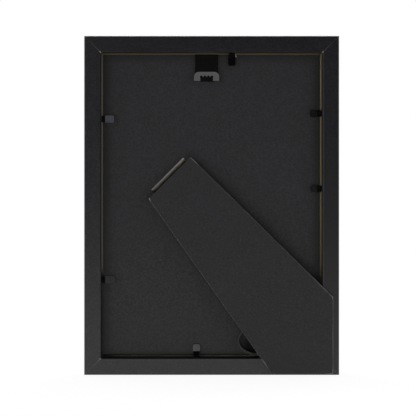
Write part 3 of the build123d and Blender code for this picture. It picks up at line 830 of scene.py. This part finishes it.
def dress_cad_nodes():
    """Gives every carried-over node its finish."""
    finishes = {
        "glass_pane": picture_glass(), "photo_insert": blank_insert_paper(),
        "backboard": papered_backboard(), "leg_panel": papered_leg(),
    }
    for node, (usual, particular) in RAILS.items():
        finishes[node] = satin_black_moulding(*usual, **particular)
    for node, values in BLACKENED.items():
        finishes[node] = blackened_steel(*values)
    dark = blackened_steel(*BLACKENED_OTHER_TABS)
    bright = bright_steel()
    for name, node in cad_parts.items():
        finish = finishes.get(name, dark if name.startswith("tab_") else bright)
        for slot in node.material_slots:
            slot.material = finish


def from_hinge(foot, along, out):
    """Gives the place of a point measured from the hinge's middle."""
    return HINGE + TOWARD_FOOT * foot + ALONG_HINGE * along + OUTWARD * out


def smooth(share):
    """Eases a share from 0 to 1."""
    share = min(max(share, 0.0), 1.0)
    return share * share * (3 - 2 * share)


def ribbon_line():
    """Gives the points of the ribbon's smooth line through its route."""
    curve = bpy.data.curves.new("ribbon_line", "CURVE")
    curve.dimensions = "3D"
    curve.resolution_u = RIBBON_STEPS
    spline = curve.splines.new("NURBS")
    spline.points.add(len(RIBBON_ROUTE) - 1)
    for point, (foot, along, out) in zip(spline.points, RIBBON_ROUTE):
        point.co = (*from_hinge(foot * MM, along * MM, out * MM), 1.0)
    spline.order_u = 3
    spline.use_endpoint_u = True
    guide = bpy.data.objects.new("ribbon_line", curve)
    mesh = bpy.data.meshes.new_from_object(guide)
    points = [vertex.co.copy() for vertex in mesh.vertices]
    bpy.data.objects.remove(guide)
    bpy.data.curves.remove(curve)
    bpy.data.meshes.remove(mesh)
    return points


def ribbon_lean(share):
    """Gives how far the standing ribbon leans over at a share of its length."""
    first, last = RIBBON_LEAN
    start, end = RIBBON_LEAN_SPAN
    return first + (last - first) * smooth((share - start) / (end - start))


def ribbon_section():
    """Gives the ribbon's cross-section from its middle: soft edges and slightly hollow faces."""
    half_w, half_t = RIBBON_W / 2, RIBBON_T / 2
    soft = 0.35 * half_t
    hollow = 0.7 * half_t
    return (
        (-half_w, -soft), (-half_w, soft), (-half_w + half_t, half_t), (0.0, hollow),
        (half_w - half_t, half_t), (half_w, soft), (half_w, -soft), (half_w - half_t, -half_t),
        (0.0, -hollow), (-half_w + half_t, -half_t),
    )


def ribbon_mesh(line, run_so_far):
    """Gives the ribbon's mesh: its section along its line, flat at the ends and on edge between them."""
    total = run_so_far[-1]
    section = ribbon_section()
    points = []
    for station, place in enumerate(line):
        before = line[max(station - 1, 0)]
        after = line[min(station + 1, len(line) - 1)]
        run = (after - before).normalized()
        from_end = min(run_so_far[station], total - run_so_far[station])
        standing = smooth((from_end - RIBBON_FLAT) / RIBBON_TWIST)
        lean = math.pi / 2 - (math.pi / 2 - ribbon_lean(run_so_far[station] / total)) * standing
        inward = OUTWARD.cross(run).normalized()
        across = inward * math.sin(lean) + OUTWARD * math.cos(lean)
        across = (across - run * across.dot(run)).normalized()
        through = run.cross(across)
        points += [place + across * wide + through * thick for wide, thick in section]
    sides = len(section)
    faces = [tuple(range(sides))[::-1], tuple(len(points) - sides + side for side in range(sides))]
    for station in range(len(line) - 1):
        for side in range(sides):
            first = station * sides + side
            second = station * sides + (side + 1) % sides
            faces.append((first, second, second + sides, first + sides))
    mesh = bpy.data.meshes.new("woven_stay_ribbon")
    mesh.from_pydata(points, [], faces)
    uv = mesh.uv_layers.new(name="weave")
    for loop in mesh.loops:
        station, side = divmod(loop.vertex_index, sides)
        uv.data[loop.index].uv = (run_so_far[station] / total, section[side][0] / RIBBON_W + 0.5)
    return mesh


def stay_ribbon(finish):
    """Models the ribbon: a woven band, flat at its two stapled ends and on edge through its loop."""
    line = ribbon_line()
    run_so_far = [0.0]
    for here, there in zip(line, line[1:]):
        run_so_far.append(run_so_far[-1] + (there - here).length)
    mesh = ribbon_mesh(line, run_so_far)
    piece = bpy.data.objects.new("woven_stay_ribbon", mesh)
    bpy.context.collection.objects.link(piece)
    bpy.context.view_layer.objects.active = piece
    piece.select_set(True)
    bpy.ops.object.mode_set(mode="EDIT")
    bpy.ops.mesh.select_all(action="SELECT")
    bpy.ops.mesh.normals_make_consistent(inside=False)
    bpy.ops.object.mode_set(mode="OBJECT")
    bpy.ops.object.shade_smooth_by_angle(angle=RIBBON_SMOOTH)
    bpy.ops.object.select_all(action="DESELECT")
    mesh.materials.append(finish)
    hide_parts("stay_ribbon")
    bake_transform(piece)


def rabbet_splinter(finish):
    """Models the torn splinter beside the top flexible point: a sliver that tapers to its lower end."""
    bpy.ops.mesh.primitive_cube_add(size=SPLINTER_W, location=SPLINTER)
    piece = bpy.context.object
    piece.name = "rabbet_splinter"
    bpy.ops.object.transform_apply(location=True)
    bpy.ops.object.mode_set(mode="EDIT")
    proportions = (1, SPLINTER_T / SPLINTER_W, SPLINTER_L / SPLINTER_W)
    bpy.ops.transform.resize(value=proportions, center_override=SPLINTER)
    bpy.ops.mesh.subdivide(number_cuts=2)
    bpy.ops.mesh.select_all(action="DESELECT")
    bpy.ops.object.mode_set(mode="OBJECT")
    tip = Vector(SPLINTER) - Vector((0, 0, SPLINTER_L / 2))
    for vertex in piece.data.vertices:
        vertex.select = vertex.co.z < tip.z + SPLINTER_TIP_SHARE * SPLINTER_L
    bpy.ops.object.mode_set(mode="EDIT")
    bpy.ops.transform.resize(value=SPLINTER_TAPER, center_override=tip)
    bpy.ops.mesh.select_all(action="SELECT")
    bpy.ops.mesh.vertices_smooth(factor=0.4, repeat=2)
    bpy.ops.object.mode_set(mode="OBJECT")
    bpy.ops.object.shade_smooth_by_angle(angle=SPLINTER_SMOOTH)
    bpy.ops.object.select_all(action="DESELECT")
    piece.data.materials.append(finish)
    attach(piece, "frame")


def white_paper_floor():
    """Gives the floor's finish: lit and shaded like paper, and seen and mirrored as near white."""
    material = bpy.data.materials.new("white_floor")
    material.use_nodes = True
    nodes = Nodes(material.node_tree)
    nodes.tree.nodes.clear()
    paper = nodes.add("ShaderNodeBsdfDiffuse")
    nodes.join(FLOOR_PAPER, paper.inputs["Color"])
    glow = nodes.add("ShaderNodeEmission")
    away = nodes.vector_math("LENGTH", nodes.add("ShaderNodeTexCoord").outputs["Object"])["Value"]
    bright = nodes.ramp(away, FLOOR_SHADOW_NEAR, FLOOR_SHADOW_FAR, FLOOR_GLOW, 1.0)
    share = nodes.times(nodes.rays("Is Camera Ray", "Is Glossy Ray", "Is Transmission Ray"), bright)
    surface = nodes.mix_shaders(share, paper.outputs[0], glow.outputs[0])
    nodes.join(surface, nodes.add("ShaderNodeOutputMaterial").inputs["Surface"])
    return material


def white_floor(finish):
    """Lays the white floor."""
    bpy.ops.mesh.primitive_plane_add(size=FLOOR_SIZE, location=(0, FLOOR_SIZE / 2 - FLOOR_BEFORE, 0))
    bpy.ops.object.transform_apply(location=True)
    floor = bpy.context.object
    floor.name = "white_floor"
    floor.data.materials.append(finish)
    floor.select_set(False)


def studio_world():
    """Sets the room: white where the camera looks into it, dim before the easel side and paler behind."""
    world = bpy.data.worlds.new("studio")
    bpy.context.scene.world = world
    world.use_nodes = True
    nodes = Nodes(world.node_tree)
    nodes.tree.nodes.clear()
    toward_back = nodes.split(nodes.add("ShaderNodeTexCoord").outputs["Generated"])["Y"]
    room = nodes.add("ShaderNodeBackground")
    nodes.join(WHITE, room.inputs["Color"])
    nodes.join(nodes.ramp(toward_back, *WORLD_TURN, WORLD_BEFORE, WORLD_BEHIND), room.inputs["Strength"])
    white = nodes.add("ShaderNodeBackground")
    nodes.join(WHITE, white.inputs["Color"])
    seen = nodes.rays("Is Camera Ray", "Is Transmission Ray")
    surface = nodes.mix_shaders(seen, room.outputs[0], white.outputs[0])
    nodes.join(surface, nodes.add("ShaderNodeOutputWorld").inputs["Surface"])


def soft_light(name, place, target, size, power):
    """Hangs a square soft light that faces a point."""
    light = bpy.data.lights.new(name, "AREA")
    light.shape = "SQUARE"
    light.size = size
    light.energy = power
    lamp = bpy.data.objects.new(name, light)
    lamp.location = place
    lamp.rotation_euler = (Vector(target) - Vector(place)).to_track_quat("-Z", "Y").to_euler()
    bpy.context.collection.objects.link(lamp)


def photograph_camera():
    """Sets the camera square to the easel side."""
    view = bpy.data.cameras.new("photograph")
    view.sensor_width = SENSOR_W
    view.lens = SENSOR_W * VIEW_DISTANCE / VIEW_WIDTH
    camera = bpy.data.objects.new("photograph", view)
    camera.location = (VIEW_X, BACK_Y - VIEW_DISTANCE, VIEW_Z)
    camera.rotation_euler = (math.pi / 2, 0, 0)
    bpy.context.collection.objects.link(camera)
    bpy.context.scene.camera = camera


bpy.context.scene.view_settings.view_transform = "Standard"
photograph_camera()
dress_cad_nodes()
stay_ribbon(woven_ribbon())
rabbet_splinter(fibreboard_splinter())
white_floor(white_paper_floor())
studio_world()
for values in SOFT_LIGHTS:
    soft_light(*values)
